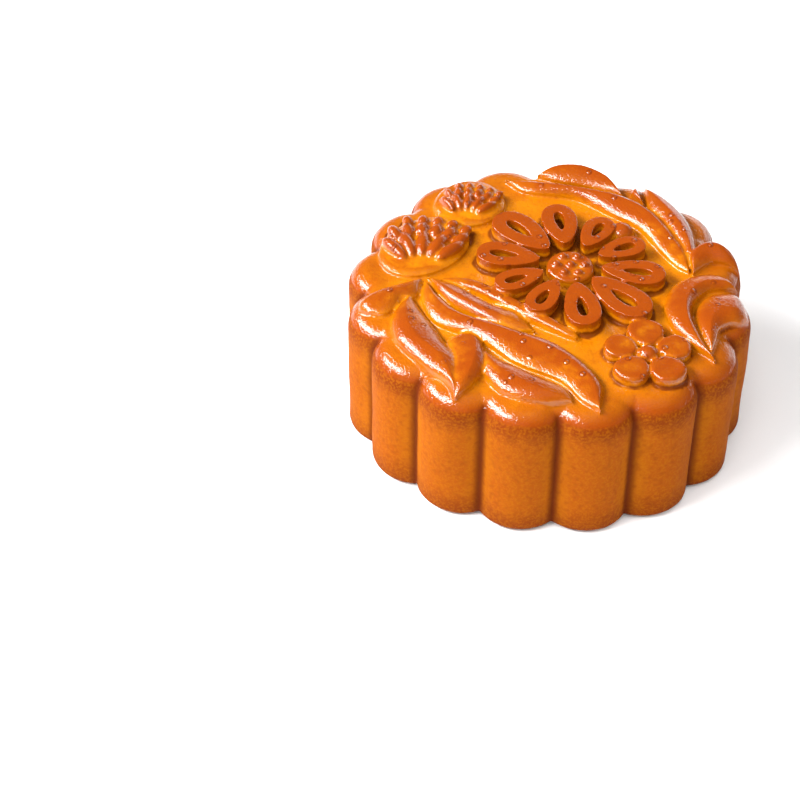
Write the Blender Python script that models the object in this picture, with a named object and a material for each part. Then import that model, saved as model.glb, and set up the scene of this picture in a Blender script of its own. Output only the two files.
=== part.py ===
"""A moulded Cantonese mooncake: one solid, sixteen lobes round the side and carved relief on its face.

Metres, +Z up.  The cake stands on z = 0 with its axis on the Z axis, and a groove nearly faces -Y.
Flat sizes below are in millimetres, because that is how a mould is drawn; MM turns them to metres.
An azimuth is measured from -Y towards +X.
"""
import math

import bmesh
import bpy
import numpy as np

for old in list(bpy.data.objects):
    bpy.data.objects.remove(old, do_unlink=True)

MM = 0.001

# the cake's body
LOBES = 16
HALF_LOBE = math.pi / LOBES
BODY_TURN = math.radians(1.5)
CREST_RADIUS = 39.0
LOBE_RADIUS = 8.87
LOBE_RING = CREST_RADIUS - LOBE_RADIUS
FACE_HEIGHT = 29.2
SHOULDER = 4.5
FOOT = 1.8
POINTS_PER_LOBE = 8
SHOULDER_STEPS = 4

# how far the soft dough has spread out of true
OVAL = 0.94
OVAL_TURN = math.radians(-139)
THREE_SIDED = 0.7
THREE_TURN = math.radians(63.5)
BULGE = 2.8
BULGE_AT = math.radians(128)
BULGE_SPREAD = math.radians(22)

# the relief carved in the mould's floor
PATTERN_SHIFT = np.array((1.2, -0.3))
SUNK = 0.9
EDGE_STEP = 0.9
LEAF_STATIONS = 10
CURVE_STEPS = 12
TIP_HALF_WIDTH = 0.15
FLANK_SHARE = 0.73


def out_of_round(azimuth):
    """How far the wall stands out of true at an azimuth."""
    azimuth = (azimuth + math.pi) % (2 * math.pi) - math.pi
    bulge = BULGE * math.exp(-((azimuth - BULGE_AT) / BULGE_SPREAD) ** 2)
    oval = OVAL * math.cos(2 * (azimuth - OVAL_TURN))
    return oval + THREE_SIDED * math.cos(3 * (azimuth - THREE_TURN)) + bulge


def lobed_radius(azimuth):
    """Outline of the cake: round lobes that meet in sharp grooves, one of them at BODY_TURN."""
    off = (azimuth - BODY_TURN) % (2 * HALF_LOBE) - HALF_LOBE
    lobe = LOBE_RING * math.cos(off) + math.sqrt(LOBE_RADIUS ** 2 - (LOBE_RING * math.sin(off)) ** 2)
    return lobe + out_of_round(azimuth)


def flat_radius(azimuth):
    """Where the flat of the face ends and the shoulder begins."""
    return CREST_RADIUS - SHOULDER + out_of_round(azimuth)


def face_at(x, y):
    """Height of the plain face below the relief: flat, then rounding down over the lobes."""
    azimuth = math.atan2(x, -y)
    flat = flat_radius(azimuth)
    share = (math.hypot(x, y) - flat) / (lobed_radius(azimuth) - flat)
    if share <= 0:
        return FACE_HEIGHT
    return FACE_HEIGHT - SHOULDER + SHOULDER * math.sqrt(max(0.0, 1 - share ** 2))


def new_object(name, mesh, collection):
    thing = bpy.data.objects.new(name, mesh)
    collection.objects.link(thing)
    return thing


def loft(name, rings):
    """Closed mesh through rings that all have the same number of points, given in millimetres."""
    bm = bmesh.new()
    loops = [[bm.verts.new([c * MM for c in point]) for point in ring] for ring in rings]
    for low, high in zip(loops, loops[1:]):
        for i, vert in enumerate(low):
            j = (i + 1) % len(low)
            bm.faces.new((vert, low[j], high[j], high[i]))
    bm.faces.new(loops[0][::-1])
    bm.faces.new(loops[-1])
    bmesh.ops.recalc_face_normals(bm, faces=bm.faces)
    mesh = bpy.data.meshes.new(name)
    bm.to_mesh(mesh)
    bm.free()
    return mesh


def body_mesh():
    """The plain cake: a scalloped foot and side, then a shoulder that ends in a round face."""
    count = LOBES * POINTS_PER_LOBE
    azimuths = [BODY_TURN + 2 * math.pi * i / count for i in range(count)]
    wall = FACE_HEIGHT - SHOULDER
    levels = [(0.0, -FOOT, 1.0), (0.3 * FOOT, -0.3 * FOOT, 1.0), (FOOT, 0.0, 1.0), (wall, 0.0, 1.0)]
    for step in range(1, SHOULDER_STEPS + 1):
        turn = math.radians(90) * step / SHOULDER_STEPS
        levels.append((wall + SHOULDER * math.sin(turn), 0.0, math.cos(turn)))
    rings = []
    for height, inset, scallop in levels:
        ring = []
        for azimuth in azimuths:
            flat = flat_radius(azimuth)
            radius = flat + (lobed_radius(azimuth) - flat) * scallop + inset
            ring.append((radius * math.sin(azimuth), -radius * math.cos(azimuth), height))
        rings.append(ring)
    return loft("body", rings)


def smooth_line(points, count):
    """Evenly spaced points on a Catmull-Rom curve through the given ones."""
    knots = np.array(points, float) + PATTERN_SHIFT
    ends = np.vstack([2 * knots[0] - knots[1], knots, 2 * knots[-1] - knots[-2]])
    fine = []
    for a, b, c, d in zip(ends, ends[1:], ends[2:], ends[3:]):
        for t in np.linspace(0, 1, CURVE_STEPS, endpoint=False):
            fine.append(0.5 * (2 * b + (c - a) * t + (2 * a - 5 * b + 4 * c - d) * t ** 2
                               + (3 * b - a - 3 * c + d) * t ** 3))
    fine = np.array(fine + [knots[-1]])
    along = np.concatenate([[0], np.cumsum(np.hypot(*np.diff(fine, axis=0).T))])
    places = np.linspace(0, along[-1], count)
    return np.column_stack([np.interp(places, along, fine[:, k]) for k in (0, 1)])


def leaf_mesh(name, root, tip, left, crest, right, height):
    """A carved leaf: a crest between two convex flanks, each ending in a small upright edge."""
    lines = [smooth_line([root, *line, tip], LEAF_STATIONS) for line in (left, crest, right)]
    rings = []
    for i, (a, c, b) in enumerate(zip(*lines)):
        swell = math.sin(math.pi * i / (LEAF_STATIONS - 1))
        rise = height * (0.2 + 0.8 * swell ** 0.55)
        step = EDGE_STEP * (0.2 + 0.8 * swell ** 0.5)
        if i in (0, LEAF_STATIONS - 1):
            beside = 1 if i == 0 else -2
            across = lines[2][beside] - lines[0][beside]
            across = across / np.hypot(*across) * TIP_HALF_WIDTH
            a, b = a - across, b + across
        shape = [(a, -SUNK), (a, step), (0.5 * (a + c), step + FLANK_SHARE * (rise - step)), (c, rise),
                 (0.5 * (b + c), step + FLANK_SHARE * (rise - step)), (b, step), (b, -SUNK)]
        rings.append([(x, y, face_at(x, y) + up) for (x, y), up in shape])
    return loft(name, rings)


def flat_outline(name, splines, height, edge):
    """A flat raised figure with softened edges; later splines inside the first are open floors."""
    curve = bpy.data.curves.new(name, "CURVE")
    curve.dimensions = "2D"
    curve.fill_mode = "BOTH"
    curve.extrude = (SUNK + height) / 2 * MM - edge * MM
    curve.bevel_depth = edge * MM
    curve.bevel_resolution = 1
    curve.offset = -edge * MM
    for points in splines:
        spline = curve.splines.new("POLY")
        spline.points.add(len(points) - 1)
        for point, (x, y) in zip(spline.points, points):
            point.co = (x * MM, y * MM, 0, 1)
        spline.use_cyclic_u = True
    holder = bpy.data.objects.new(name, curve)
    bpy.context.scene.collection.objects.link(holder)
    bpy.context.view_layer.update()
    evaluated = holder.evaluated_get(bpy.context.evaluated_depsgraph_get())
    mesh = bpy.data.meshes.new_from_object(evaluated)
    bpy.data.objects.remove(holder, do_unlink=True)
    bm = bmesh.new()
    bm.from_mesh(mesh)
    bmesh.ops.remove_doubles(bm, verts=bm.verts, dist=1e-6)
    bmesh.ops.translate(bm, verts=bm.verts, vec=(0, 0, (FACE_HEIGHT + (height - SUNK) / 2) * MM))
    bmesh.ops.recalc_face_normals(bm, faces=bm.faces)
    bm.to_mesh(mesh)
    bm.free()
    return mesh


def petal_outline(centre, toward, near, far, width, taper, inset, count):
    """A drop-shaped petal from near to far along the direction toward, narrower by its taper at its root."""
    points = []
    middle, half = (near + far) / 2, (far - near) / 2 - inset
    for i in range(count):
        turn = 2 * math.pi * i / count
        along = middle + half * math.cos(turn)
        side = (width / 2 - inset) * math.sin(turn) * (1 - taper + taper * math.cos(turn))
        points.append((centre[0] + along * toward[0] - side * toward[1],
                       centre[1] + along * toward[1] + side * toward[0]))
    return points


def ellipsoid(name, centre, radii, turn, segments, rings):
    """A rounded boss: a sphere scaled to its three radii, then turned about Z."""
    bm = bmesh.new()
    bmesh.ops.create_uvsphere(bm, u_segments=segments, v_segments=rings, radius=1)
    bmesh.ops.scale(bm, verts=bm.verts, vec=[r * MM for r in radii])
    spin = math.radians(turn)
    for vert in bm.verts:
        x, y, z = vert.co
        vert.co = (x * math.cos(spin) - y * math.sin(spin) + centre[0] * MM,
                   x * math.sin(spin) + y * math.cos(spin) + centre[1] * MM, z + centre[2] * MM)
    mesh = bpy.data.meshes.new(name)
    bm.to_mesh(mesh)
    bm.free()
    return mesh


part = bpy.data.collections.new("mooncake")
relief = bpy.data.collections.new("relief_cutters")
bpy.context.scene.collection.children.link(part)
bpy.context.scene.collection.children.link(relief)

# Leaves of the spray.  Each is (root, tip, one edge, crest, other edge, height) on the face.
LEAVES = {
    "west": ((-24.9, 1.5), (-35.4, -8.8), [(-30.9, -1.2), (-34.6, -3.2), (-37.0, -5.4), (-37.0, -7.2)],
             [(-28.2, -2.4), (-31.4, -4.2), (-33.9, -6.2)],
             [(-26.1, -3.8), (-28.9, -5.2), (-30.0, -7.2), (-32.2, -9.4)], 2.4),
    "curl": ((-27.4, -3.2), (-19.1, -31.7), [(-30.6, -9.2), (-30.1, -16.6), (-25.5, -23.0), (-20.8, -28.0)],
             [(-28.2, -9.5), (-26.5, -16.6), (-21.6, -22.5), (-19.6, -28.2)],
             [(-24.9, -8.6), (-21.3, -16.0), (-18.4, -22.0), (-18.3, -28.0)], 2.8),
    "fork": ((-17.3, -14.0), (-18.8, -31.6), [(-20.3, -16.4), (-20.0, -22.0), (-20.2, -28.0)],
             [(-15.2, -17.2), (-15.5, -23.5), (-17.6, -28.8)],
             [(-13.9, -17.2), (-13.2, -23.5), (-16.0, -29.0)], 2.6),
    "sweep": ((-24.6, 1.2), (7.2, -35.1), [(-21.8, -4.2), (-17.0, -9.6), (-8.0, -13.6), (1.0, -18.5), (7.6, -27.5)],
              [(-21.8, -6.8), (-17.0, -11.6), (-6.0, -17.2), (1.0, -21.8), (5.8, -28.0)],
              [(-25.4, -4.2), (-22.6, -11.6), (-14.4, -16.4), (-8.0, -22.6), (0.2, -27.4), (3.8, -32.4)], 2.9),
    "inner": ((-24.0, 1.9), (-4.0, -13.9), [(-19.5, -0.1), (-12.0, -6.0), (-6.8, -8.6)],
              [(-20.3, -3.2), (-13.5, -9.2), (-7.5, -12.0)], [(-21.2, -4.6), (-15.5, -10.0), (-8.8, -13.6)], 2.7),
    "south": ((-13.9, -18.7), (2.4, -32.8), [(-10.0, -22.0), (-4.0, -26.0), (1.2, -29.4)],
              [(-11.6, -24.6), (-6.5, -29.4), (-1.5, -31.8)], [(-14.0, -24.8), (-10.8, -30.4), (-4.0, -33.2)], 2.7),
    "north": ((-8.6, 32.6), (26.4, 4.0), [(0.0, 31.8), (8.0, 29.4), (15.6, 26.4), (21.2, 21.4), (26.2, 11.0)],
              [(0.0, 29.9), (8.0, 27.6), (15.0, 24.5), (20.0, 19.9), (24.8, 10.2)],
              [(-4.4, 28.8), (5.0, 27.0), (12.0, 21.9), (17.2, 17.6), (20.5, 11.8), (23.8, 6.2)], 2.9),
    "ridge": ((-2.2, 34.2), (15.3, 26.9), [(2.0, 36.9), (7.5, 36.4), (12.0, 33.3)],
              [(2.2, 35.6), (7.3, 35.1), (11.8, 32.0)], [(2.0, 32.4), (7.0, 30.8), (12.0, 28.8)], 3.1),
    "east": ((19.4, 31.2), (26.9, 5.2), [(22.6, 28.2), (25.8, 23.4), (27.8, 18.0), (28.2, 12.0)],
             [(21.6, 25.8), (24.6, 19.2), (26.8, 11.6)], [(19.5, 25.2), (21.5, 19.8), (24.2, 13.4)], 2.9),
    "blade": ((17.9, 31.0), (19.2, 24.4), [(18.5, 28.0)], [(17.6, 28.0)], [(16.5, 28.2)], 2.0),
    "crescent": ((29.0, -21.3), (36.0, -0.2),
                 [(24.4, -16.8), (21.2, -11.0), (20.6, -5.5), (23.0, 0.2), (28.0, 3.2), (32.5, 3.0)],
                 [(26.0, -16.4), (24.7, -10.5), (25.3, -4.6), (28.2, -0.6), (32.4, 0.4)],
                 [(27.6, -16.6), (25.9, -10.4), (26.7, -5.4), (29.4, -1.9), (33.0, -0.9)], 2.8),
    "hook": ((28.6, -19.5), (37.0, -8.2), [(27.3, -15.5), (26.3, -10.2), (27.2, -5.6), (30.4, -2.6), (35.4, -2.8)],
             [(28.5, -15.5), (29.2, -11.2), (31.0, -8.0), (34.2, -7.2)],
             [(29.8, -16.0), (30.8, -12.6), (32.6, -10.8), (35.0, -10.0)], 2.4),
    "curl_east": ((27.0, 3.4), (37.2, 6.0), [(26.6, 8.6), (28.8, 11.8), (32.0, 12.6), (35.6, 10.4)],
                  [(27.4, 7.8), (30.2, 10.6), (34.4, 9.6)], [(28.9, 5.6), (31.2, 7.2), (34.4, 6.8)], 2.9),
}
for name, (root, tip, left, crest, right, height) in LEAVES.items():
    new_object("leaf_" + name, leaf_mesh(name, root, tip, left, crest, right, height), relief)

# The stem that runs from the leaves' root along the flower.
STEM = [(-21.6, 1.0), (-16.0, -0.6), (-11.8, -3.4), (-7.0, -7.4), (-2.0, -11.0), (4.0, -15.4)]
STEM_HALF_WIDTH = 1.8
STEM_HEIGHT = 2.2
STEM_PROFILE = ((1, -SUNK), (1, 0.45), (0.6, STEM_HEIGHT), (-0.6, STEM_HEIGHT), (-1, 0.45), (-1, -SUNK))
middle = smooth_line(STEM, LEAF_STATIONS)
way = np.gradient(middle, axis=0)
way /= np.hypot(way[:, 0], way[:, 1])[:, None]
across = np.column_stack([-way[:, 1], way[:, 0]]) * STEM_HALF_WIDTH
stem_rings = []
for i, (c, s) in enumerate(zip(middle, across)):
    swell = 0.35 + 0.65 * math.sin(math.pi * i / (LEAF_STATIONS - 1)) ** 0.5
    ring = [(c + s * k * swell, up * swell if up > 0 else up) for k, up in STEM_PROFILE]
    stem_rings.append([(x, y, face_at(x, y) + up) for (x, y), up in ring])
new_object("stem", loft("stem", stem_rings), relief)

# The open flower has hollow petals round a seed head, and the small one full petals round a bead.
# Each flower is (centre, reach one way and the other, turn, petals, inner end of a petal, taper, fill, height).
FLOWERS = {
    "flower": ((3.4, 4.2), (20.4, 15.9), -47, 10, 5.9, 0.22, 0.97, 2.9),
    "rosette": ((16.6, -20.4), (9.4, 8.4), 90, 5, 1.8, 0.14, 0.72, 2.3),
}
RIM_SHARE = 0.31
PETAL_EDGE = 0.35
OUTER_POINTS = 16
INNER_POINTS = 10
for name, (centre, reach, turn, petals, near, taper, fill, height) in FLOWERS.items():
    centre = np.array(centre) + PATTERN_SHIFT
    for k in range(petals):
        around = 2 * math.pi * k / petals
        far = 1 / math.hypot(math.cos(around) / reach[0], math.sin(around) / reach[1])
        heading = around + math.radians(turn)
        toward = (math.cos(heading), math.sin(heading))
        width = 2 * (far - 0.7 * near) * math.tan(math.pi / petals) * fill
        outlines = [petal_outline(centre, toward, near, far, width, taper, 0, OUTER_POINTS)]
        if name == "flower":
            rim = RIM_SHARE * width
            outlines.append(petal_outline(centre, toward, near, far, width, taper, rim, INNER_POINTS))
        new_object(f"{name}_{k}", flat_outline(f"{name}_{k}", outlines, height, PETAL_EDGE), relief)

# The seed head of the large flower, the bead of the small one, and the berry beside the back leaf.
SEED_HEAD_RADIUS = 4.8
SEED_HEAD_RISE = 2.1
SEED_HEAD_POINTS = 20
SEED_RADIUS = 0.95
SEED_RING = 2.75
heart = np.array(FLOWERS["flower"][0]) + PATTERN_SHIFT
head = []
for i in range(SEED_HEAD_POINTS):
    around = 2 * math.pi * i / SEED_HEAD_POINTS
    head.append(heart + SEED_HEAD_RADIUS * np.array((math.cos(around), math.sin(around))))
new_object("seed_head", flat_outline("seed_head", [head], SEED_HEAD_RISE, PETAL_EDGE), relief)
for k in range(7):
    out = 0 if k == 6 else SEED_RING
    place = (heart[0] + out * math.cos(math.radians(60 * k)),
             heart[1] + out * math.sin(math.radians(60 * k)), FACE_HEIGHT + SEED_HEAD_RISE)
    new_object(f"seed_{k}", ellipsoid(f"seed_{k}", place, [SEED_RADIUS] * 3, 0, 8, 6), relief)
BEAD_RADIUS = 2.2
bead = (*(np.array(FLOWERS["rosette"][0]) + PATTERN_SHIFT), FACE_HEIGHT + 0.8)
new_object("bead", ellipsoid("bead", bead, [BEAD_RADIUS] * 3, 0, 12, 8), relief)
BERRY = (14.0, 15.8)
BERRY_RADIUS = 2.7
berry = (*(np.array(BERRY) + PATTERN_SHIFT), FACE_HEIGHT + 0.3)
new_object("berry", ellipsoid("berry", berry, [BERRY_RADIUS] * 3, 0, 12, 8), relief)

# Two fan-shaped buds at the left: an oval cushion with rows of ribs that open from its lower end.
# Each is (centre, radii and turn of the oval, root of the ribs, heading of the middle rib, size).
FANS = (((-24.7, 11.4), (10.4, 7.8), 49, (-25.6, 2.4), 82, 14.0),
        ((-15.8, 25.0), (7.6, 7.0), 50, (-16.9, 18.0), 78, 10.0))
CUSHION_RISE = 1.6
CUSHION_PROFILE = ((1.0, -SUNK), (1.0, 0.6), (0.93, 1.15), (0.6, CUSHION_RISE), (0.2, CUSHION_RISE))
OVAL_POINTS = 20
RIB_SINK = 0.2
# Each row is (ribs, turn of its middle from the fan's, spacing, distance out, half length, half width, rise).
RIB_ROWS = ((5, 4, 20, 0.60, 0.28, 0.112, 1.7), (6, 0, 12.5, 0.90, 0.17, 0.098, 1.4),
            (5, -5, 11, 1.12, 0.12, 0.088, 1.1))
for n, (centre, radii, turn, root, heading, size) in enumerate(FANS):
    spin = math.radians(turn)
    centre = np.array(centre) + PATTERN_SHIFT
    root = np.array(root) + PATTERN_SHIFT
    rings = []
    for scale, up in CUSHION_PROFILE:
        ring = []
        for i in range(OVAL_POINTS):
            around = 2 * math.pi * i / OVAL_POINTS
            x, y = radii[0] * scale * math.cos(around), radii[1] * scale * math.sin(around)
            ring.append((centre[0] + x * math.cos(spin) - y * math.sin(spin),
                         centre[1] + x * math.sin(spin) + y * math.cos(spin)))
        rings.append([(x, y, face_at(x, y) + up) for x, y in ring])
    new_object(f"fan_{n}", loft(f"fan_{n}", rings), relief)
    for row, (count, lead, spacing, out, half_length, half_width, rib_rise) in enumerate(RIB_ROWS):
        for k in range(count):
            lean = math.radians(heading + lead + spacing * (k - (count - 1) / 2))
            x, y = root + out * size * np.array((math.cos(lean), math.sin(lean)))
            place = (x, y, face_at(x, y) + CUSHION_RISE - RIB_SINK)
            rib = (half_length * size, half_width * size, rib_rise)
            name = f"rib_{n}_{row}_{k}"
            new_object(name, ellipsoid(name, place, rib, math.degrees(lean), 8, 5), relief)

for piece in relief.objects:
    piece.hide_render = True
    piece.display_type = "WIRE"

mooncake = new_object("mooncake", body_mesh(), part)
union = mooncake.modifiers.new("relief", "BOOLEAN")
union.operation = "UNION"
union.operand_type = "COLLECTION"
union.collection = relief
mooncake.data.shade_smooth()
mooncake.data.set_sharp_from_angle(angle=math.radians(35))

crust = bpy.data.materials.new("baked_crust")
crust.use_nodes = True
shader = crust.node_tree.nodes["Principled BSDF"]
shader.inputs["Base Color"].default_value = (0.55, 0.17, 0.03, 1)
shader.inputs["Roughness"].default_value = 0.45
shader.inputs["Metallic"].default_value = 0.0
mooncake.data.materials.append(crust)
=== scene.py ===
"""A whole moulded mooncake on a pale table: glossy egg-washed face, sixteen baked lobes round its side."""
import math

import bpy
import numpy as np
from mathutils import Matrix, Quaternion, Vector, noise


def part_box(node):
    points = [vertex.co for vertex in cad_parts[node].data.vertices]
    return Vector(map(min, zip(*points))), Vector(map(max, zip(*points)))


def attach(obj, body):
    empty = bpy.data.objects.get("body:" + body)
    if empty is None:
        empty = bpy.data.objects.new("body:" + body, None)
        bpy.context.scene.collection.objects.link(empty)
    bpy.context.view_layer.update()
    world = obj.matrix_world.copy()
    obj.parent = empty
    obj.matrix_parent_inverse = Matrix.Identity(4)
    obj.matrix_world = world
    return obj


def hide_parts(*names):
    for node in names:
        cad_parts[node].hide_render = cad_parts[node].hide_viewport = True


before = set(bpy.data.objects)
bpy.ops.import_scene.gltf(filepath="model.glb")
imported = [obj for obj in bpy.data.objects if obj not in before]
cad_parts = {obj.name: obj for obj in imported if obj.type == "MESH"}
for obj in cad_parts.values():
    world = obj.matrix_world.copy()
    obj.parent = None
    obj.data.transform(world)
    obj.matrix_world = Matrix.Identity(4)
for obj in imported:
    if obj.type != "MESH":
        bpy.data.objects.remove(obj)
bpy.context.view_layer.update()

# The camera stands in front of the cake and looks down on it at about forty degrees, far enough away that the
# lobes at the back are nearly as large as those in front. The cake sits right of the middle of the picture.
MM = 0.001
low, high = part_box("mooncake")
FRONT_TURN = math.radians(-4.44)
LOOK_DOWN = math.radians(41.27)
DISTANCE = 432.9 * MM
AIM = Vector((0, 0, 14 * MM))
CAMERA_PAN = math.radians(3.72)
CAMERA_TILT = math.radians(-1.42)
CAMERA_ROLL = math.radians(3.68)

to_right = Vector((math.cos(FRONT_TURN), math.sin(FRONT_TURN), 0))
away = Vector((-math.sin(FRONT_TURN), math.cos(FRONT_TURN), 0))
to_camera = Vector((0, 0, math.sin(LOOK_DOWN))) - away * math.cos(LOOK_DOWN)
camera_up = Vector((0, 0, math.cos(LOOK_DOWN))) + away * math.sin(LOOK_DOWN)
aimed = Matrix((to_right, camera_up, to_camera)).transposed()
turned = (Matrix.Rotation(CAMERA_ROLL, 3, "Z") @ Matrix.Rotation(CAMERA_TILT, 3, "X")
          @ Matrix.Rotation(CAMERA_PAN, 3, "Y"))
camera_data = bpy.data.cameras.new("camera")
camera_data.sensor_width = 36
camera_data.lens = 99
camera = bpy.data.objects.new("camera", camera_data)
camera.matrix_world = Matrix.Translation(AIM + to_camera * DISTANCE) @ (aimed @ turned).to_4x4()
bpy.context.scene.collection.objects.link(camera)
bpy.context.scene.camera = camera

# The body of the cake: soft dough pressed into a round wooden mould with sixteen lobes. It keeps the mould's
# upright wall up to a soft shoulder, but spreads a little out of round as it is knocked out and bakes.
LOBES = 16
HALF_LOBE = math.pi / LOBES
BODY_TURN = math.radians(1.5)
RELIEF_ROOM = 3.1 * MM
FACE_HEIGHT = high.z - RELIEF_ROOM
SHOULDER = 4.5 * MM
CREST_RADIUS = 39.0 * MM
LOBE_RADIUS = 8.87 * MM
LOBE_RING = CREST_RADIUS - LOBE_RADIUS
CORE_RADIUS = 35.5 * MM
FOOT_ROUND = 1.8 * MM
OVAL = 0.94 * MM
OVAL_TURN = math.radians(-139)
THREE_SIDED = 0.7 * MM
THREE_TURN = math.radians(63.5)
BULGE = 2.8 * MM
BULGE_AT = math.radians(128)
BULGE_SPREAD = math.radians(22)


def out_of_round(azimuth):
    """How far the wall stands out of true at an azimuth measured from the front."""
    bulge = BULGE * np.exp(-((azimuth - BULGE_AT) / BULGE_SPREAD) ** 2)
    return OVAL * np.cos(2 * (azimuth - OVAL_TURN)) + THREE_SIDED * np.cos(3 * (azimuth - THREE_TURN)) + bulge


def lobed_radius(azimuth):
    """Reach of the lobed outline at an azimuth measured from the front."""
    off = (azimuth - BODY_TURN) % (2 * HALF_LOBE) - HALF_LOBE
    lobe = LOBE_RING * np.cos(off) + np.sqrt(LOBE_RADIUS ** 2 - (LOBE_RING * np.sin(off)) ** 2)
    return lobe + out_of_round(azimuth)


def face_at(x, y):
    """Height of the plain face at a place: flat, then rounding down over the lobes' shoulders."""
    azimuth = np.arctan2(x, -y)
    flat_radius = CREST_RADIUS - SHOULDER + out_of_round(azimuth)
    share = (np.hypot(x, y) - flat_radius) / (lobed_radius(azimuth) - flat_radius)
    share = np.clip(share, 0, 1)
    return FACE_HEIGHT - SHOULDER + SHOULDER * np.sqrt(1 - share ** 2)


def pick_edges(piece, chosen):
    """Select, in edit mode, the edges of the piece whose two ends both satisfy chosen(point)."""
    bpy.ops.object.mode_set(mode="EDIT")
    bpy.ops.mesh.select_mode(type="EDGE")
    bpy.ops.mesh.select_all(action="DESELECT")
    bpy.ops.object.mode_set(mode="OBJECT")
    points = piece.data.vertices
    for edge in piece.data.edges:
        edge.select = all(chosen(points[i].co) for i in edge.vertices)
    bpy.ops.object.mode_set(mode="EDIT")


def dough_drum(name, radius, height, top_round, foot_round, sides):
    """An upright cylinder of dough standing on the table, rounded at its top and foot."""
    bpy.ops.object.select_all(action="DESELECT")
    bpy.ops.mesh.primitive_cylinder_add(vertices=sides, radius=radius, depth=height, location=(0, 0, height / 2))
    drum = bpy.context.object
    drum.name = name
    bpy.ops.object.transform_apply(location=True, rotation=True, scale=True)
    pick_edges(drum, lambda point: point.z > height * 0.9)
    bpy.ops.mesh.bevel(offset=top_round, segments=8, affect="EDGES")
    bpy.ops.object.mode_set(mode="OBJECT")
    pick_edges(drum, lambda point: point.z < height * 0.1)
    bpy.ops.mesh.bevel(offset=foot_round, segments=4, affect="EDGES")
    bpy.ops.object.mode_set(mode="OBJECT")
    return drum


pieces = [dough_drum("dough_core", CORE_RADIUS, FACE_HEIGHT, 3.3 * MM, FOOT_ROUND, 128)]
first_lobe = dough_drum("dough_lobe", LOBE_RADIUS, FACE_HEIGHT, SHOULDER, FOOT_ROUND, 64)
for k in range(LOBES):
    lobe = first_lobe.copy()
    lobe.data = first_lobe.data.copy()
    bpy.context.scene.collection.objects.link(lobe)
    swing = BODY_TURN + (2 * k + 1) * HALF_LOBE - math.radians(90)
    lobe.data.transform(Matrix.Rotation(swing, 4, "Z") @ Matrix.Translation((LOBE_RING, 0, 0)))
    pieces.append(lobe)
bpy.data.objects.remove(first_lobe, do_unlink=True)
for piece in pieces:
    for vert in piece.data.vertices:
        stretch = out_of_round(math.atan2(vert.co.x, -vert.co.y)) / CREST_RADIUS
        vert.co.xy = vert.co.xy * (1 + stretch)

# The leaf spray: leaves cut in the mould's floor stand up from the face. Each has a crest along a curved line
# and two full flanks that end in a short steep edge. Places are read on the pattern, in millimetres, and the
# whole pattern sits a little off the middle of the cake.
PATTERN_SHIFT = Vector((1.2, -0.3))
SUNK = 0.9 * MM
EDGE_STEP = 0.9 * MM
STRIP_DEPTH = 4.5 * MM
LEAF_LENGTHWAYS = 48
LEAF_ACROSS = 14
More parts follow.
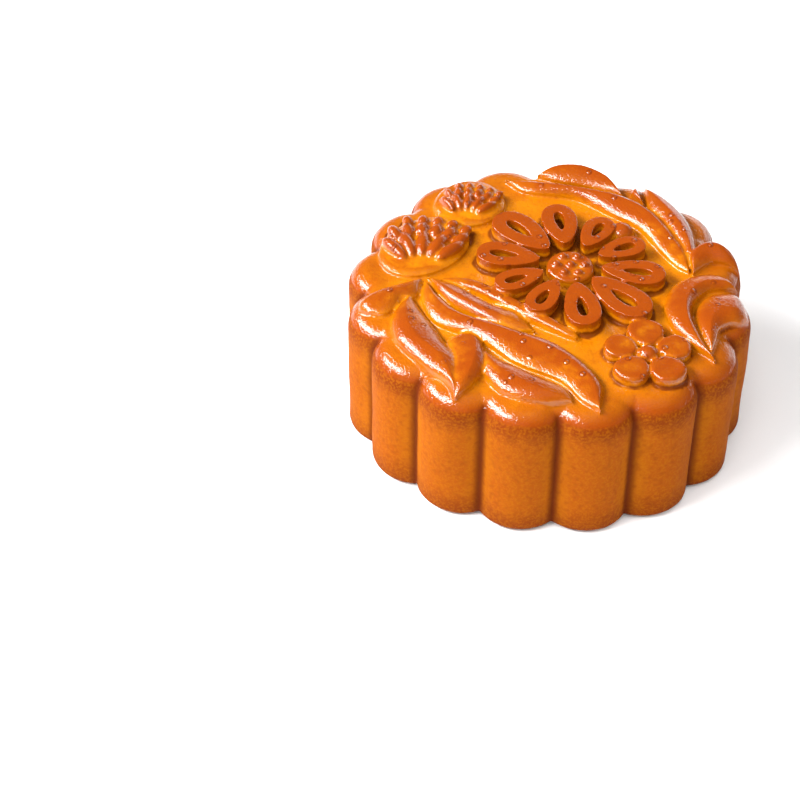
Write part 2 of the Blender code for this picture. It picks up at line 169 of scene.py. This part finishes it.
# name: (root, tip, one edge, crest, other edge, height)
LEAVES = {
    "west": ((-24.9, 1.5), (-35.4, -8.8), [(-30.9, -1.2), (-34.6, -3.2), (-37.0, -5.4), (-37.0, -7.2)],
             [(-28.2, -2.4), (-31.4, -4.2), (-33.9, -6.2)],
             [(-26.1, -3.8), (-28.9, -5.2), (-30.0, -7.2), (-32.2, -9.4)], 2.4),
    "curl": ((-27.4, -3.2), (-19.1, -31.7), [(-30.6, -9.2), (-30.1, -16.6), (-25.5, -23.0), (-20.8, -28.0)],
             [(-28.2, -9.5), (-26.5, -16.6), (-21.6, -22.5), (-19.6, -28.2)],
             [(-24.9, -8.6), (-21.3, -16.0), (-18.4, -22.0), (-18.3, -28.0)], 2.8),
    "fork": ((-17.3, -14.0), (-18.8, -31.6), [(-20.3, -16.4), (-20.0, -22.0), (-20.2, -28.0)],
             [(-15.2, -17.2), (-15.5, -23.5), (-17.6, -28.8)],
             [(-13.9, -17.2), (-13.2, -23.5), (-16.0, -29.0)], 2.6),
    "sweep": ((-24.6, 1.2), (7.2, -35.1), [(-21.8, -4.2), (-17.0, -9.6), (-8.0, -13.6), (1.0, -18.5), (7.6, -27.5)],
              [(-21.8, -6.8), (-17.0, -11.6), (-6.0, -17.2), (1.0, -21.8), (5.8, -28.0)],
              [(-25.4, -4.2), (-22.6, -11.6), (-14.4, -16.4), (-8.0, -22.6), (0.2, -27.4), (3.8, -32.4)], 2.9),
    "inner": ((-24.0, 1.9), (-4.0, -13.9), [(-19.5, -0.1), (-12.0, -6.0), (-6.8, -8.6)],
              [(-20.3, -3.2), (-13.5, -9.2), (-7.5, -12.0)], [(-21.2, -4.6), (-15.5, -10.0), (-8.8, -13.6)], 2.7),
    "south": ((-13.9, -18.7), (2.4, -32.8), [(-10.0, -22.0), (-4.0, -26.0), (1.2, -29.4)],
              [(-11.6, -24.6), (-6.5, -29.4), (-1.5, -31.8)], [(-14.0, -24.8), (-10.8, -30.4), (-4.0, -33.2)], 2.7),
    "north": ((-8.6, 32.6), (26.4, 4.0), [(0.0, 31.8), (8.0, 29.4), (15.6, 26.4), (21.2, 21.4), (26.2, 11.0)],
              [(0.0, 29.9), (8.0, 27.6), (15.0, 24.5), (20.0, 19.9), (24.8, 10.2)],
              [(-4.4, 28.8), (5.0, 27.0), (12.0, 21.9), (17.2, 17.6), (20.5, 11.8), (23.8, 6.2)], 2.9),
    "ridge": ((-2.2, 34.2), (15.3, 26.9), [(2.0, 36.9), (7.5, 36.4), (12.0, 33.3)],
              [(2.2, 35.6), (7.3, 35.1), (11.8, 32.0)], [(2.0, 32.4), (7.0, 30.8), (12.0, 28.8)], 3.1),
    "east": ((19.4, 31.2), (26.9, 5.2), [(22.6, 28.2), (25.8, 23.4), (27.8, 18.0), (28.2, 12.0)],
             [(21.6, 25.8), (24.6, 19.2), (26.8, 11.6)], [(19.5, 25.2), (21.5, 19.8), (24.2, 13.4)], 2.9),
    "blade": ((17.9, 31.0), (19.2, 24.4), [(18.5, 28.0)], [(17.6, 28.0)], [(16.5, 28.2)], 2.0),
    "crescent": ((29.0, -21.3), (36.0, -0.2),
                 [(24.4, -16.8), (21.2, -11.0), (20.6, -5.5), (23.0, 0.2), (28.0, 3.2), (32.5, 3.0)],
                 [(26.0, -16.4), (24.7, -10.5), (25.3, -4.6), (28.2, -0.6), (32.4, 0.4)],
                 [(27.6, -16.6), (25.9, -10.4), (26.7, -5.4), (29.4, -1.9), (33.0, -0.9)], 2.8),
    "hook": ((28.6, -19.5), (37.0, -8.2), [(27.3, -15.5), (26.3, -10.2), (27.2, -5.6), (30.4, -2.6), (35.4, -2.8)],
             [(28.5, -15.5), (29.2, -11.2), (31.0, -8.0), (34.2, -7.2)],
             [(29.8, -16.0), (30.8, -12.6), (32.6, -10.8), (35.0, -10.0)], 2.4),
    "curl_east": ((27.0, 3.4), (37.2, 6.0), [(26.6, 8.6), (28.8, 11.8), (32.0, 12.6), (35.6, 10.4)],
                  [(27.4, 7.8), (30.2, 10.6), (34.4, 9.6)], [(28.9, 5.6), (31.2, 7.2), (34.4, 6.8)], 2.9),
}


def smooth_line(points, count):
    """Evenly spaced points, in metres, on a smooth curve through the given ones."""
    knots = (np.array(points, float) + np.array(PATTERN_SHIFT)) * MM
    ends = np.vstack([2 * knots[0] - knots[1], knots, 2 * knots[-1] - knots[-2]])
    fine = []
    for a, b, c, d in zip(ends, ends[1:], ends[2:], ends[3:]):
        for t in np.linspace(0, 1, 16, endpoint=False):
            fine.append(0.5 * (2 * b + (c - a) * t + (2 * a - 5 * b + 4 * c - d) * t ** 2
                               + (3 * b - a - 3 * c + d) * t ** 3))
    fine = np.array(fine + [knots[-1]])
    along = np.concatenate([[0], np.cumsum(np.hypot(*np.diff(fine, axis=0).T))])
    places = np.linspace(0, along[-1], count)
    return np.column_stack([np.interp(places, along, fine[:, axis]) for axis in (0, 1)])


def raised_strip(name, left, crest, right, height_at, flank):
    """A grid laid over the face between two edges, lifted along its crest and closed underneath."""
    rows = len(crest)
    bpy.ops.object.select_all(action="DESELECT")
    bpy.ops.mesh.primitive_grid_add(x_subdivisions=LEAF_ACROSS, y_subdivisions=rows - 1, size=2)
    strip = bpy.context.object
    strip.name = name
    for vert in strip.data.vertices:
        side = vert.co.x
        row = round((vert.co.y + 1) / 2 * (rows - 1))
        edge = left[row] if side < 0 else right[row]
        x, y = crest[row] + (edge - crest[row]) * abs(side)
        rise, step = height_at(row / (rows - 1))
        vert.co = (x, y, face_at(x, y) + step + (rise - step) * flank(abs(side)))
    bpy.ops.object.mode_set(mode="EDIT")
    bpy.ops.mesh.select_all(action="SELECT")
    bpy.ops.mesh.extrude_region_move(TRANSFORM_OT_translate={"value": (0, 0, -STRIP_DEPTH)})
    bpy.ops.mesh.select_all(action="SELECT")
    bpy.ops.mesh.normals_make_consistent(inside=False)
    bpy.ops.object.mode_set(mode="OBJECT")
    return strip


def leaf_flank(side):
    """Height across a leaf: a definite crest, a full flank and a steeper fall at the edge."""
    return 1 - 0.45 * side - 0.55 * side ** 3.5


for name, (root, tip, left, crest, right, height) in LEAVES.items():
    lines = [smooth_line([root, *line, tip], LEAF_LENGTHWAYS) for line in (left, crest, right)]

    def leaf_height(share):
        swell = math.sin(math.pi * min(max(share, 0.02), 0.98))
        return height * MM * (0.2 + 0.8 * swell ** 0.55), EDGE_STEP * (0.2 + 0.8 * swell ** 0.5)

    pieces.append(raised_strip("leaf_" + name, *lines, leaf_height, leaf_flank))

# The stem that the spray grows from: a plain round-backed cord of dough that runs on below the flower.
STEM = [(-21.6, 1.0), (-16.0, -0.6), (-11.8, -3.4), (-7.0, -7.4), (-2.0, -11.0), (4.0, -15.4)]
STEM_HALF_WIDTH = 1.8 * MM
STEM_HEIGHT = 2.2 * MM
middle = smooth_line(STEM, LEAF_LENGTHWAYS)
way = np.gradient(middle, axis=0)
way /= np.hypot(way[:, 0], way[:, 1])[:, None]
taper = 0.35 + 0.65 * np.sin(math.pi * np.linspace(0, 1, LEAF_LENGTHWAYS)) ** 0.5
across = np.column_stack([-way[:, 1], way[:, 0]]) * (STEM_HALF_WIDTH * taper)[:, None]


def stem_height(share):
    swell = 0.35 + 0.65 * math.sin(math.pi * share) ** 0.5
    return STEM_HEIGHT * swell, 0.5 * EDGE_STEP * swell


def round_back(side):
    """Height across a rounded cord."""
    return math.sqrt(max(0.0, 1 - side ** 2.4))


pieces.append(raised_strip("stem", middle + across, middle, middle - across, stem_height, round_back))

# The open flower in the middle and the smaller one near the front edge: hollow petals round a seed head. Each
# petal is a flat-topped rim of dough with softened edges, standing straight up from the face round a sunk floor.
# Each flower is (centre, reach one way and the other, turn, petals, inner end of a petal, taper, fill, height).
FLOWERS = {
    "flower": ((3.4, 4.2), (20.4, 15.9), -47, 10, 5.9, 0.22, 0.97, 2.9),
    "rosette": ((16.6, -20.4), (9.4, 8.4), 90, 5, 1.8, 0.14, 0.72, 2.3),
}
PETAL_POINTS = 48
RIM_SHARE = 0.31
TOP_ROUND = 0.9 * MM


def raised_outline(name, outline, stroke, height):
    """A filled outline set on the face, its middle cut out where there's a stroke, pulled up and softened."""
    bpy.ops.object.select_all(action="DESELECT")
    bpy.ops.mesh.primitive_circle_add(vertices=len(outline), radius=1, fill_type="NGON")
    shape = bpy.context.object
    shape.name = name
    for vert, (x, y) in zip(shape.data.vertices, outline):
        vert.co = (x, y, FACE_HEIGHT - SUNK)
    bpy.ops.object.mode_set(mode="EDIT")
    bpy.ops.mesh.select_mode(type="FACE")
    bpy.ops.mesh.select_all(action="SELECT")
    if stroke:
        bpy.ops.mesh.inset(thickness=stroke)
        bpy.ops.mesh.delete(type="FACE")
        bpy.ops.mesh.select_all(action="SELECT")
    bpy.ops.mesh.extrude_region_move(TRANSFORM_OT_translate={"value": (0, 0, SUNK + height)})
    bpy.ops.mesh.select_all(action="SELECT")
    bpy.ops.mesh.normals_make_consistent(inside=False)
    bpy.ops.mesh.select_all(action="DESELECT")
    bpy.ops.mesh.select_mode(type="EDGE")
    bpy.ops.mesh.edges_select_sharp(sharpness=math.radians(60))
    bpy.ops.object.mode_set(mode="OBJECT")
    for edge in shape.data.edges:
        if min(shape.data.vertices[i].co.z for i in edge.vertices) < FACE_HEIGHT:
            edge.select = False
    bpy.ops.object.mode_set(mode="EDIT")
    bpy.ops.mesh.bevel(offset=TOP_ROUND, segments=4, affect="EDGES", clamp_overlap=True)
    bpy.ops.object.mode_set(mode="OBJECT")
    return shape


def rounded_boss(name, place, radii, turn):
    """A boss of dough: a ball pressed to three radii and turned to lie along its heading."""
    bpy.ops.object.select_all(action="DESELECT")
    bpy.ops.mesh.primitive_uv_sphere_add(segments=32, ring_count=16, radius=1, location=place)
    boss = bpy.context.object
    boss.name = name
    boss.scale = radii
    boss.rotation_euler.z = turn
    bpy.ops.object.transform_apply(location=True, rotation=True, scale=True)
    return boss


for name, (centre, reach, turn, petals, near, taper, fill, height) in FLOWERS.items():
    centre = Vector(centre) + PATTERN_SHIFT
    for k in range(petals):
        around = 2 * math.pi * k / petals
        far = 1 / math.hypot(math.cos(around) / reach[0], math.sin(around) / reach[1])
        heading = around + math.radians(turn)
        toward = Vector((math.cos(heading), math.sin(heading)))
        width = 2 * (far - 0.7 * near) * math.tan(math.pi / petals) * fill
        outline = []
        for i in range(PETAL_POINTS):
            step = 2 * math.pi * i / PETAL_POINTS
            along = (near + far) / 2 + (far - near) / 2 * math.cos(step)
            side = width / 2 * math.sin(step) * (1 - taper + taper * math.cos(step))
            outline.append((centre + along * toward + side * Vector((-toward.y, toward.x))) * MM)
        stroke = RIM_SHARE * width * MM if name == "flower" else 0
        pieces.append(raised_outline(f"{name}_petal_{k}", outline, stroke, height * MM))

# The seed head of the large flower: a low round boss with seven seeds, and a plain bead at the small one's heart.
SEED_HEAD_RADIUS = 4.8 * MM
SEED_HEAD_RISE = 2.1 * MM
SEED_RADIUS = 0.95 * MM
SEED_RING = 2.75 * MM
heart = (Vector(FLOWERS["flower"][0]) + PATTERN_SHIFT) * MM
outline = []
for i in range(PETAL_POINTS):
    step = 2 * math.pi * i / PETAL_POINTS
    outline.append(heart + SEED_HEAD_RADIUS * Vector((math.cos(step), math.sin(step))))
pieces.append(raised_outline("seed_head", outline, 0, SEED_HEAD_RISE))
for k in range(7):
    out = 0 if k == 6 else SEED_RING
    x = heart.x + out * math.cos(math.radians(60 * k))
    y = heart.y + out * math.sin(math.radians(60 * k))
    pieces.append(rounded_boss(f"seed_{k}", (x, y, FACE_HEIGHT + SEED_HEAD_RISE), [SEED_RADIUS] * 3, 0))
heart = (Vector(FLOWERS["rosette"][0]) + PATTERN_SHIFT) * MM
pieces.append(rounded_boss("rosette_heart", (*heart, FACE_HEIGHT + 0.8 * MM), [2.2 * MM] * 3, 0))

# One round berry lies in the angle of the back leaf: a plain ball, sunk to its middle in the face.
BERRY = (Vector((14.0, 15.8)) + PATTERN_SHIFT) * MM
pieces.append(rounded_boss("berry", (*BERRY, FACE_HEIGHT + 0.3 * MM), [2.7 * MM] * 3, 0))

# Two fan-shaped buds at the left: an oval cushion of dough with rows of fine ribs that open from its lower end.
# Each is (centre, radii and turn of the oval, root of the ribs, heading of the middle rib, size).
FANS = (((-24.7, 11.4), (10.4, 7.8), 49, (-25.6, 2.4), 82, 14.0),
        ((-15.8, 25.0), (7.6, 7.0), 50, (-16.9, 18.0), 78, 10.0))
CUSHION_RISE = 1.6 * MM
CUSHION_EDGE = 0.6 * MM
# Each row is (ribs, turn of its middle from the fan's, spacing, distance out, half length, half width, rise).
RIB_ROWS = ((5, 4, 20, 0.60, 0.28, 0.112, 1.7), (6, 0, 12.5, 0.90, 0.17, 0.098, 1.4),
            (5, -5, 11, 1.12, 0.12, 0.088, 1.1))
for n, (centre, radii, turn, root, heading, size) in enumerate(FANS):
    spin = Matrix.Rotation(math.radians(turn), 2)
    bpy.ops.object.select_all(action="DESELECT")
    bpy.ops.mesh.primitive_circle_add(vertices=64, radius=1, fill_type="TRIFAN")
    bpy.ops.object.mode_set(mode="EDIT")
    bpy.ops.mesh.select_all(action="SELECT")
    bpy.ops.mesh.subdivide(number_cuts=9)
    bpy.ops.object.mode_set(mode="OBJECT")
    cushion = bpy.context.object
    cushion.name = f"fan_{n}"
    for vert in cushion.data.vertices:
        out = min(1.0, vert.co.length)
        x, y = (spin @ Vector((vert.co.x * radii[0], vert.co.y * radii[1])) + Vector(centre) + PATTERN_SHIFT) * MM
        lift = CUSHION_EDGE + (CUSHION_RISE - CUSHION_EDGE) * math.sqrt(1 - out ** 5)
        vert.co = (x, y, face_at(x, y) + lift)
    bpy.ops.object.mode_set(mode="EDIT")
    bpy.ops.mesh.select_all(action="SELECT")
    bpy.ops.mesh.extrude_region_move(TRANSFORM_OT_translate={"value": (0, 0, -SUNK - CUSHION_RISE)})
    bpy.ops.mesh.select_all(action="SELECT")
    bpy.ops.mesh.normals_make_consistent(inside=False)
    bpy.ops.object.mode_set(mode="OBJECT")
    pieces.append(cushion)
    for row, (count, lead, spacing, out, half_length, half_width, rib_rise) in enumerate(RIB_ROWS):
        for k in range(count):
            lean = math.radians(heading + lead + spacing * (k - (count - 1) / 2))
            x, y = (Vector(root) + PATTERN_SHIFT + out * size * Vector((math.cos(lean), math.sin(lean)))) * MM
            place = (x, y, face_at(x, y) + CUSHION_RISE - 0.2 * MM)
            rib = (half_length * size * MM, half_width * size * MM, rib_rise * MM)
            pieces.append(rounded_boss(f"rib_{n}_{row}_{k}", place, rib, lean))

# Baking makes one skin of it all: the joints between body and relief close up, edges soften, and the dough
# swells and sinks a little from place to place, always inside the mould's own lines.
SKIN_GRAIN = 0.2 * MM
SKIN_FACES = 192000
SWELL_SIZE = 7 * MM
SWELL_DEPTH = 0.26 * MM
DIMPLE_SIZE = 1.7 * MM
DIMPLE_DEPTH = 0.05 * MM
bpy.ops.object.select_all(action="DESELECT")
for piece in pieces:
    piece.select_set(True)
cake = pieces[0]
bpy.context.view_layer.objects.active = cake
bpy.ops.object.join()
cake.name = "cake"
fuse = cake.modifiers.new("fuse", "REMESH")
fuse.mode = "VOXEL"
fuse.voxel_size = SKIN_GRAIN
bpy.ops.object.modifier_apply(modifier="fuse")
soften = cake.modifiers.new("soften", "SMOOTH")
soften.factor = 0.5
soften.iterations = 3
bpy.ops.object.modifier_apply(modifier="soften")
skin = len(cake.data.polygons)
points = np.empty((len(cake.data.vertices), 3), np.float32)
outward = np.empty((len(cake.data.vertices), 3), np.float32)
cake.data.vertices.foreach_get("co", points.ravel())
cake.data.vertex_normals.foreach_get("vector", outward.ravel())
swell = np.array([noise.noise(point) for point in (points / SWELL_SIZE).tolist()]) - 1
dimple = np.array([noise.noise(point) for point in (points / DIMPLE_SIZE).tolist()]) - 1
points += outward * (SWELL_DEPTH * swell + DIMPLE_DEPTH * dimple)[:, None] / 2
points[:, 2] = np.maximum(points[:, 2], 0)
cake.data.vertices.foreach_set("co", points.ravel())
cake.data.update()
thin = cake.modifiers.new("thin", "DECIMATE")
thin.ratio = SKIN_FACES / (2 * skin)
bpy.ops.object.modifier_apply(modifier="thin")
bpy.ops.object.shade_smooth()
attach(cake, "root")
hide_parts("mooncake")

# What each place is like is kept on the mesh, for the crust's colour: how far the relief rises over the
# face, how deep a place lies in a crease, and how near it is to a groove between lobes. The last two also lay
# painted shade into the creases and grooves.
RASTER = 0.2 * MM
points = np.empty((len(cake.data.vertices), 3), np.float32)
cake.data.vertices.foreach_get("co", points.ravel())
x, y, z = points.T
azimuth = np.arctan2(x, -y)
cells = 2 * int(42 * MM / RASTER)
column = np.clip((x / RASTER + cells / 2).astype(int), 0, cells - 1)
line = np.clip((y / RASTER + cells / 2).astype(int), 0, cells - 1)
surface = np.zeros((cells, cells))
np.maximum.at(surface, (line, column), z)
filled = (surface > FACE_HEIGHT - SHOULDER).astype(float)
surface *= filled
waves = np.fft.fftfreq(cells, RASTER)
damping = (waves[:, None] ** 2 + waves[None, :] ** 2) * 2 * math.pi ** 2


def spread(picture, reach):
    """The raster blurred over a reach, counting only the cells that hold part of the face."""
    soft = np.exp(-damping * reach ** 2)
    total = np.fft.ifft2(np.fft.fft2(picture) * soft).real
    weight = np.fft.ifft2(np.fft.fft2(filled) * soft).real
    return total / np.maximum(weight, 0.02)


on_face = z > FACE_HEIGHT - 0.6 * SHOULDER
rise = np.where(on_face, z - face_at(x, y), 0) / RELIEF_ROOM
fine_dip = spread(surface, 0.5 * MM)[line, column] - z
broad_dip = spread(surface, 1.6 * MM)[line, column] - z
crease = np.where(on_face, fine_dip / (0.55 * MM) + broad_dip / (6 * MM), 0)
groove = np.abs((azimuth - BODY_TURN) % (2 * HALF_LOBE) - HALF_LOBE) / HALF_LOBE
for name, values in (("rise", np.clip(rise, 0, 1)), ("crease", np.clip(crease, -1, 2)), ("groove", groove)):
    layer = cake.data.attributes.new(name, "FLOAT", "POINT")
    layer.data.foreach_set("value", values.astype(np.float32))

# Baked crust: a lard pastry brushed with egg on its face only, so the face is glossy and crazed over yellow
# floors and brown high places, while the side stays dry, finely grained and golden brown.
CRUST_FLOOR = (0.46, 0.146, 0.0006, 1)
CRUST_HIGH = (0.225, 0.036, 0.0006, 1)
# The crease colour is painted shade, laid into the creases and grooves.
CRUST_PAINTED_SHADE = (0.085, 0.011, 0.0006, 1)
CRUST_RIM = (0.28, 0.054, 0.0006, 1)
CRUST_SIDE = (0.265, 0.056, 0.0008, 1)
CRUST_PALE = (0.36, 0.108, 0.0008, 1)
CRUST_DARK_BROWN = (0.13, 0.017, 0.0008, 1)


class Wire:
    """One value on its way through a material: sums and products of wires add the nodes that work them out."""

    def __init__(self, socket):
        self.socket = socket

    def add(self, kind, settings, inputs, output=0):
        """A node in this wire's material, its settings made first and its sockets then filled or linked."""
        tree = self.socket.id_data
        node = tree.nodes.new(kind)
        for name, value in settings.items():
            setattr(node, name, value)
        for key, value in inputs.items():
            if isinstance(value, Wire):
                tree.links.new(value.socket, node.inputs[key])
            else:
                node.inputs[key].default_value = value
        return Wire(node.outputs[output])

    def math(self, operation, first, second=0.0):
        return self.add("ShaderNodeMath", {"operation": operation}, {0: first, 1: second})

    def __add__(self, other):
        return self.math("ADD", self, other)

    def __radd__(self, other):
        return self.math("ADD", other, self)

    def __sub__(self, other):
        return self.math("SUBTRACT", self, other)

    def __rsub__(self, other):
        return self.math("SUBTRACT", other, self)

    def __mul__(self, other):
        return self.math("MULTIPLY", self, other)

    def __rmul__(self, other):
        return self.math("MULTIPLY", other, self)

    def ramp(self, start, end):
        """A smooth rise from nought to one between two values of this wire."""
        settings = {"interpolation_type": "SMOOTHSTEP"}
        return self.add("ShaderNodeMapRange", settings, {0: self, 1: start, 2: end, 3: 0.0, 4: 1.0})

    def blend(self, under, over):
        """The colour under this mask changed for the colour over it."""
        return self.add("ShaderNodeMix", {"data_type": "RGBA"}, {0: self, 6: under, 7: over}, 2)


crust = bpy.data.materials.new("baked_crust")
crust.use_nodes = True
tree = crust.node_tree
place = Wire(tree.nodes.new("ShaderNodeTexCoord").outputs["Object"])
height = place.add("ShaderNodeSeparateXYZ", {}, {0: place}, 2) * (1 / MM)
rise = place.add("ShaderNodeAttribute", {"attribute_name": "rise"}, {}, 2)
crease = place.add("ShaderNodeAttribute", {"attribute_name": "crease"}, {}, 2)
groove = place.add("ShaderNodeAttribute", {"attribute_name": "groove"}, {}, 2)


def mottle(size, detail=2.0):
    """Soft random patches of about this size, from nought to one."""
    return place.add("ShaderNodeTexNoise", {}, {"Vector": place, "Scale": 1 / size, "Detail": detail})


patches = mottle(9 * MM)
blotches = mottle(4 * MM, 3.0)
freckles = mottle(2.2 * MM, 4.0)
flecks = mottle(0.9 * MM, 3.0)
grain = mottle(0.45 * MM, 3.0)
FACE_MM = FACE_HEIGHT / MM
glaze_edge = height + (freckles - 0.5) * 0.5 + (patches - 0.5) * 1.2
face_mask = glaze_edge.ramp(FACE_MM - 2.8, FACE_MM - 1.9)

# The face: yellow floor, browner as the relief rises and towards the rim, with painted shade in the creases.
browned = (rise + (freckles - 0.5) * 0.6 + (patches - 0.5) * 0.5).ramp(0.34, 0.80)
face_colour = (blotches.ramp(0.35, 0.65) * 0.35).blend(CRUST_FLOOR, CRUST_RIM)
face_colour = browned.blend(face_colour, CRUST_HIGH)
face_colour = (blotches.ramp(0.42, 0.62) * browned * 0.5).blend(face_colour, CRUST_RIM)
face_colour = (flecks.ramp(0.5, 0.72) * 0.3).blend(face_colour, CRUST_HIGH)
crest = (0 - crease + (freckles - 0.5) * 0.1).ramp(0.02, 0.25) * rise.ramp(0.16, 0.42)
face_colour = (crest * 0.6).blend(face_colour, CRUST_HIGH)
rim = 1 - (height + (patches - 0.5) * 2.4 + (blotches - 0.5)).ramp(FACE_MM - 2.4, FACE_MM + 0.2)
face_colour = rim.blend(face_colour, CRUST_HIGH)
level = place.add("ShaderNodeVectorMath", {"operation": "MULTIPLY"}, {0: place, 1: (1, 1, 0)})
outward = place.add("ShaderNodeVectorMath", {"operation": "LENGTH"}, {0: level}, 1) * (1 / MM)
toasted = (outward + (patches - 0.5) * 16 + (blotches - 0.5) * 6).ramp(24, 40)
face_colour = (toasted * 0.7).blend(face_colour, CRUST_HIGH)
# Painted shade darkens the deepest creases.
face_colour = (crease.ramp(0.8, 1.9) * 0.85).blend(face_colour, CRUST_PAINTED_SHADE)

# The side: golden, paler beside the grooves, scorched just under the shoulder, and darker towards the foot.
# Beside the grooves the side is paler: partly less-baked dough, partly a painted lit edge.
side_colour = (groove.ramp(0.5, 0.8) * 0.35 + (patches - 0.5) * 0.6).blend(CRUST_SIDE, CRUST_PALE)
scorch = (height + (freckles - 0.5) * 3 + (patches - 0.5) * 5).ramp(FACE_MM - 8.5, FACE_MM - 3.0)
foot = 1 - (height + (freckles - 0.5) * 3 + (patches - 0.5) * 4).ramp(0.5, 8.0)
side_colour = (scorch * 0.8).blend(side_colour, CRUST_DARK_BROWN)
side_colour = (foot * 0.75).blend(side_colour, CRUST_DARK_BROWN)
side_colour = (grain.ramp(0.4, 0.65) * 0.4).blend(side_colour, CRUST_PALE)
side_colour = (flecks.ramp(0.5, 0.68) * 0.3).blend(side_colour, CRUST_DARK_BROWN)
colour = face_mask.blend(side_colour, face_colour)
# Painted shade darkens the grooves between the lobes.
groove_shade = groove.ramp(0.78, 1.0) * (1 - height.ramp(FACE_MM - 2.5, FACE_MM - 1.0))
colour = (groove_shade * 0.9).blend(colour, CRUST_PAINTED_SHADE)

# Two finishes share the crust: dry pastry, and egg wash that has set to a thin crazed gloss. Steam lifts the wash
# in small blisters on the high places, each a dome inside a darker ring.
BLISTER_CELL = 3.6 * MM
cells = place.add("ShaderNodeTexVoronoi", {"voronoi_dimensions": "2D"}, {"Vector": place, "Scale": 1 / BLISTER_CELL})
from_blister = cells * (BLISTER_CELL / MM)
lot = place.add("ShaderNodeSeparateColor", {}, {0: Wire(cells.socket.node.outputs["Color"])})
blistered = lot.ramp(0.45, 0.5) * rise.ramp(0.46, 0.63) * (1 - crease.ramp(0.0, 0.2))
dome = (1 - from_blister.ramp(0.15, 0.55)) * blistered
ring = (1 - from_blister.ramp(0.5, 0.85)) * from_blister.ramp(0.25, 0.5) * blistered
colour = (ring * 0.7).blend(colour, CRUST_DARK_BROWN)
crackle = place.add("ShaderNodeTexVoronoi", {"feature": "DISTANCE_TO_EDGE"},
                    {"Vector": place, "Scale": 1 / (0.9 * MM)})
dry_bump = place.add("ShaderNodeBump", {}, {"Height": grain * 0.5 + freckles, "Distance": 0.08 * MM})
wet_height = crackle.ramp(0.0, 0.15) * 0.6 + freckles + grain * 0.8 + dome * 6
wet_bump = place.add("ShaderNodeBump", {}, {"Height": wet_height, "Distance": 0.03 * MM})
dry = tree.nodes["Principled BSDF"]
wet = tree.nodes.new("ShaderNodeBsdfPrincipled")
for shader, roughness, specular, bump in ((dry, 0.75, 0.06, dry_bump), (wet, 0.17, 0.48, wet_bump)):
    shader.inputs["Roughness"].default_value = roughness
    shader.inputs["Specular IOR Level"].default_value = specular
    tree.links.new(colour.socket, shader.inputs["Base Color"])
    tree.links.new(bump.socket, shader.inputs["Normal"])
finish = tree.nodes.new("ShaderNodeMixShader")
washed = glaze_edge.ramp(FACE_MM - 2.4, FACE_MM - 2.0) * (1 - crease.ramp(0.3, 1.2) * 0.85)
tree.links.new(washed.socket, finish.inputs["Fac"])
tree.links.new(dry.outputs["BSDF"], finish.inputs[1])
tree.links.new(wet.outputs["BSDF"], finish.inputs[2])
tree.links.new(finish.outputs[0], tree.nodes["Material Output"].inputs["Surface"])
cake.data.materials.clear()
cake.data.materials.append(crust)

# The table is a wide plain pale sheet.
bpy.ops.object.select_all(action="DESELECT")
bpy.ops.mesh.primitive_plane_add(size=8, location=(0, 0, 0))
table = bpy.context.object
table.name = "table"
sheet = bpy.data.materials.new("pale_sheet")
sheet.use_nodes = True
sheet.node_tree.nodes["Principled BSDF"].inputs["Base Color"].default_value = (0.8, 0.8, 0.8, 1)
sheet.node_tree.nodes["Principled BSDF"].inputs["Roughness"].default_value = 0.9
table.data.materials.append(sheet)

# A small studio: a big soft box up to the left, a softer one overhead, a low white wall behind, and dim grey
# surroundings that keep the egg wash deep in colour where it mirrors nothing bright.
world = bpy.data.worlds.new("studio")
bpy.context.scene.world = world
world.use_nodes = True
world.node_tree.nodes["Background"].inputs["Color"].default_value = (1, 1, 1, 1)
world.node_tree.nodes["Background"].inputs["Strength"].default_value = 0.12


def soft_box(name, heading, height, distance, width, depth, watts, roll=0, mirrored=True):
    """A cloth-covered lamp that looks at the cake from a heading and a height above the table."""
    data = bpy.data.lights.new(name, "AREA")
    data.shape = "RECTANGLE"
    data.size = width
    data.size_y = depth
    data.energy = watts
    lamp = bpy.data.objects.new(name, data)
    a, e = math.radians(heading), math.radians(height)
    direction = Vector((math.sin(a) * math.cos(e), -math.cos(a) * math.cos(e), math.sin(e)))
    lamp.location = direction * distance
    aim = direction.to_track_quat("Z", "Y") @ Quaternion((0, 0, 1), math.radians(roll))
    lamp.rotation_euler = aim.to_euler()
    lamp.visible_glossy = mirrored
    bpy.context.scene.collection.objects.link(lamp)


soft_box("left_box", -86, 42, 1.1, 1.2, 0.27, 38, roll=20)
soft_box("back_wall", 150, 10, 1.6, 1.6, 0.4, 6)
soft_box("front_fill", -20, 26, 1.5, 1.0, 0.8, 10.5, mirrored=False)
soft_box("right_fill", 80, 24, 1.5, 1.2, 0.6, 8, mirrored=False)
soft_box("top_fill", 20, 72, 1.5, 1.2, 1.2, 16, mirrored=False)

view = bpy.context.scene.view_settings
view.view_transform = "Standard"
view.look = "None"
